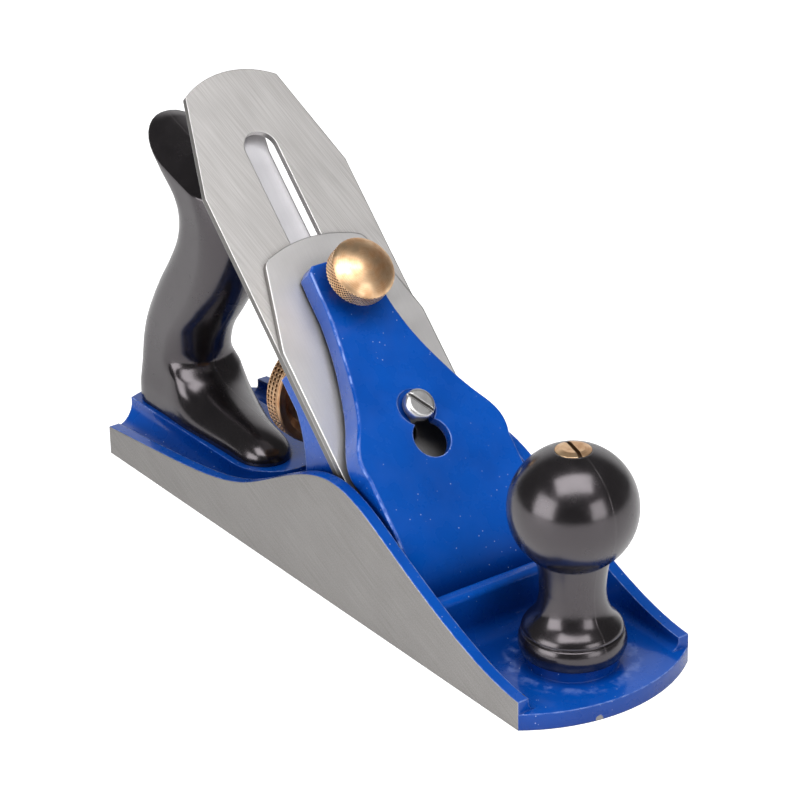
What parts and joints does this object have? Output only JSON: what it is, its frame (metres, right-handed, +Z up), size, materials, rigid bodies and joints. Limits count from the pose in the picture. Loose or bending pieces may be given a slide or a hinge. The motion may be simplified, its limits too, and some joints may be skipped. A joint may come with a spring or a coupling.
{
  "type": "hand plane",
  "caption": "Smoothing plane for wood: cast sole with curved cheeks, angled iron and cap iron under a screwed lever cap, brass depth wheel, ball knob and closed-grip rear handle.",
  "frame": {"origin": "middle of the sole's lower face", "axes": "+X to the toe, +Y to the plane's left, +Z up"},
  "size_m": [0.234, 0.06, 0.1301],
  "materials": {
    "painted_casting": "gloss blue enamel over grey iron, cheeks and sole ground bare",
    "ground_steel": "ground and brushed bright steel",
    "plain_steel": "turned steel",
    "nickel": "nickel plated, polished",
    "brass": "turned, satin, knurled on the rim",
    "black_plastic": "moulded, glossy"
  },
  "bodies": {
    "sole": {"body": "painted_casting", "frog_screws": "plain_steel", "frog_screw_washers": "plain_steel", "front_knob": "black_plastic", "knob_rod": "plain_steel", "knob_nut": "brass", "tote": "black_plastic", "tote_rod": "plain_steel", "tote_nut": "brass"},
    "frog_assembly": {"frog": "painted_casting", "frog_adjusting_plate": "plain_steel", "frog_adjusting_plate_screw": "plain_steel", "lever_cap_screw": "nickel", "depth_stud": "plain_steel", "yoke_pin": "plain_steel", "lateral_lever_rivet": "plain_steel"},
    "frog_adjuster": {"frog_adjusting_screw": "plain_steel"},
    "blade": {"cutting_iron": "ground_steel", "cap_iron": "ground_steel", "cap_iron_screw": "plain_steel"},
    "lever_cap_body": {"lever_cap": "painted_casting"},
    "thumbscrew": {"lever_cap_thumbscrew": "brass"},
    "depth_wheel": {"depth_nut": "brass"},
    "yoke": {"depth_yoke": "plain_steel"},
    "lateral_arm": {"lateral_lever": "ground_steel", "lateral_roller_pin": "plain_steel"},
    "roller": {"lateral_roller": "plain_steel"}
  },
  "joints": [
    {"name": "frog_slide", "type": "slide", "parent": "sole", "child": "frog_assembly", "axis": [1, 0, 0], "range_m": [-0.0015, 0.0015]},
    {"name": "frog_adjusting_screw_spin", "type": "hinge", "parent": "frog_assembly", "child": "frog_adjuster", "pos_m": [-0.01, 0, 0.014], "axis": [1, 0, 0], "range_deg": [-540, 540]},
    {"name": "depth_nut_spin", "type": "hinge", "parent": "frog_assembly", "child": "depth_wheel", "pos_m": [-0.029, 0, 0.0426], "axis": [1, 0, 0], "range_deg": [-360, 360]},
    {"name": "depth_yoke_tilt", "type": "hinge", "parent": "frog_assembly", "child": "yoke", "pos_m": [-0.01315, 0, 0.05268], "axis": [0, -1, 0], "range_deg": [-3.55, 3.55]},
    {"name": "blade_slide", "type": "slide", "parent": "frog_assembly", "child": "blade", "axis": [-0.7071, 0, 0.7071], "range_m": [-0.0008, 0.0008]},
    {"name": "lever_cap_slide", "type": "slide", "parent": "frog_assembly", "child": "lever_cap_body", "axis": [-0.7071, 0, 0.7071], "range_m": [0, 0.01]},
    {"name": "thumbscrew_spin", "type": "hinge", "parent": "lever_cap_body", "child": "thumbscrew", "pos_m": [-0.01011, 0, 0.08358], "axis": [0.7071, 0, 0.7071], "range_deg": [0, 1080]},
    {"name": "lateral_lever_swing", "type": "hinge", "parent": "frog_assembly", "child": "lateral_arm", "pos_m": [-0.02057, 0, 0.06859], "axis": [0.7071, 0, 0.7071], "range_deg": [-4, 4]},
    {"name": "lateral_roller_spin", "type": "hinge", "parent": "lateral_arm", "child": "roller", "pos_m": [-0.0099, 0, 0.06442], "axis": [0.7071, 0, 0.7071], "continuous": true}
  ],
  "couplings": [
    {"joint": "frog_adjusting_screw_spin", "follows": "frog_slide", "rad_per_m": 6283.2},
    {"joint": "depth_nut_spin", "follows": "blade_slide", "rad_per_m": -7854},
    {"joint": "depth_yoke_tilt", "follows": "blade_slide", "rad_per_m": 76.923}
  ]
}
